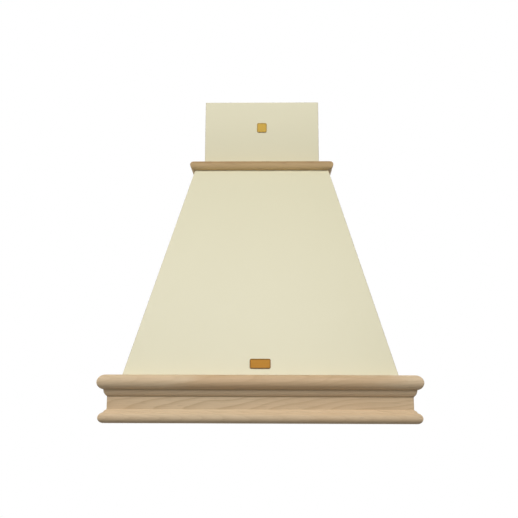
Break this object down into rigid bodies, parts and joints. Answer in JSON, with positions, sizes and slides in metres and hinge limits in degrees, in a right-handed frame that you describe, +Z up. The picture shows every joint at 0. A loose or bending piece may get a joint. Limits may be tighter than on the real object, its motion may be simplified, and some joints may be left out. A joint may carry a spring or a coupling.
{
  "type": "wooden range hood cover",
  "caption": "Painted wooden range hood cover with bare wood mouldings, a sliding chimney and an extractor insert with drop-down baffle filters.",
  "frame": {"origin": "bottom centre of the back, on the wall, level with the cornice's underside", "axes": "+X to the hood's right as seen from the front, +Y into the wall, +Z up"},
  "size_m": [0.6, 0.5, 0.723],
  "materials": {
    "cream_paint": "satin cream paint over board",
    "bare_ash": "sanded bare hardwood",
    "raw_softwood": "planed, unfinished",
    "felt": "pressed felt",
    "brass_plate": "lacquered, blank",
    "brushed_steel": "brushed",
    "galvanised_steel": "galvanised sheet",
    "bright_steel": "bright zinc plate",
    "lens_glass": "frosted",
    "black_plastic": "moulded",
    "button_plastic": "satin silver",
    "motor_enamel": "black enamel"
  },
  "bodies": {
    "cover": {"back_rail": "raw_softwood", "back_stiles": "raw_softwood", "base_board": "raw_softwood", "base_cleats": "raw_softwood", "blower_box": "galvanised_steel", "cable_gland": "black_plastic", "canopy_front_board": "cream_paint", "canopy_left_board": "cream_paint", "canopy_plate": "brass_plate", "canopy_right_board": "cream_paint", "corner_battens": "raw_softwood", "cornice_front": "bare_ash", "cornice_left": "bare_ash", "cornice_right": "bare_ash", "fan_motor": "motor_enamel", "flap_pin": "bright_steel", "hanging_cleat": "raw_softwood", "insert_fascia": "brushed_steel", "insert_tray": "galvanised_steel", "lamp_cans": "brushed_steel", "lamp_lenses": "lens_glass", "neck_felts": "felt", "neck_guides": "raw_softwood", "neck_moulding_front": "bare_ash", "neck_moulding_left": "bare_ash", "neck_moulding_right": "bare_ash", "outlet_collar": "galvanised_steel", "scroll_side_plates": "galvanised_steel", "scroll_wrap": "galvanised_steel", "skirt_back_rail": "raw_softwood", "skirt_front_board": "raw_softwood", "skirt_left_board": "raw_softwood", "skirt_right_board": "raw_softwood", "switch_block": "black_plastic", "terminal_box": "black_plastic", "wall_cleat": "raw_softwood"},
    "chimney": {"chimney_front_board": "cream_paint", "chimney_left_board": "cream_paint", "chimney_right_board": "cream_paint", "chimney_back_rails": "raw_softwood", "chimney_stop_cleats": "raw_softwood", "chimney_badge": "brass_plate"},
    "filter_left": {"filter_frame_left": "brushed_steel", "filter_baffles_left": "brushed_steel"},
    "latch_left": {"filter_latch_left": "bright_steel"},
    "flap_left": {"flap_left": "galvanised_steel"},
    "filter_right": {"filter_frame_right": "brushed_steel", "filter_baffles_right": "brushed_steel"},
    "latch_right": {"filter_latch_right": "bright_steel"},
    "flap_right": {"flap_right": "galvanised_steel"},
    "button_1": {"button_1": "button_plastic"},
    "button_2": {"button_2": "button_plastic"},
    "button_3": {"button_3": "button_plastic"},
    "button_4": {"button_4": "button_plastic"},
    "button_5": {"button_5": "button_plastic"},
    "fan_wheel": {"wheel_disc": "galvanised_steel", "wheel_rings": "galvanised_steel", "wheel_blades": "galvanised_steel", "motor_shaft": "bright_steel"}
  },
  "joints": [
    {"name": "chimney_slide", "type": "slide", "parent": "cover", "child": "chimney", "axis": [0, 0, 1], "range_m": [0, 0.09]},
    {"name": "filter_left_hinge", "type": "hinge", "parent": "cover", "child": "filter_left", "pos_m": [0, -0.062, 0.0225], "axis": [1, 0, 0], "range_deg": [0, 70]},
    {"name": "latch_left_slide", "type": "slide", "parent": "filter_left", "child": "latch_left", "axis": [0, 1, 0], "range_m": [0, 0.005], "stiffness_N_per_m": 250, "springref_m": -0.004},
    {"name": "filter_right_hinge", "type": "hinge", "parent": "cover", "child": "filter_right", "pos_m": [0, -0.062, 0.0225], "axis": [1, 0, 0], "range_deg": [0, 70]},
    {"name": "latch_right_slide", "type": "slide", "parent": "filter_right", "child": "latch_right", "axis": [0, 1, 0], "range_m": [0, 0.005], "stiffness_N_per_m": 250, "springref_m": -0.004},
    {"name": "flap_left_hinge", "type": "hinge", "parent": "cover", "child": "flap_left", "pos_m": [0, -0.125, 0.2988], "axis": [0, 1, 0], "range_deg": [0, 70]},
    {"name": "flap_right_hinge", "type": "hinge", "parent": "cover", "child": "flap_right", "pos_m": [0, -0.125, 0.2988], "axis": [0, -1, 0], "range_deg": [0, 70]},
    {"name": "button_1_press", "type": "slide", "parent": "cover", "child": "button_1", "axis": [0, 0, 1], "range_m": [0, 0.002], "stiffness_N_per_m": 200, "springref_m": -0.002},
    {"name": "button_2_press", "type": "slide", "parent": "cover", "child": "button_2", "axis": [0, 0, 1], "range_m": [0, 0.002], "stiffness_N_per_m": 200, "springref_m": -0.002},
    {"name": "button_3_press", "type": "slide", "parent": "cover", "child": "button_3", "axis": [0, 0, 1], "range_m": [0, 0.002], "stiffness_N_per_m": 200, "springref_m": -0.002},
    {"name": "button_4_press", "type": "slide", "parent": "cover", "child": "button_4", "axis": [0, 0, 1], "range_m": [0, 0.002], "stiffness_N_per_m": 200, "springref_m": -0.002},
    {"name": "button_5_press", "type": "slide", "parent": "cover", "child": "button_5", "axis": [0, 0, 1], "range_m": [0, 0.002], "stiffness_N_per_m": 200, "springref_m": -0.002},
    {"name": "fan_spin", "type": "hinge", "parent": "cover", "child": "fan_wheel", "pos_m": [0, -0.185, 0.173], "axis": [1, 0, 0], "continuous": true}
  ]
}
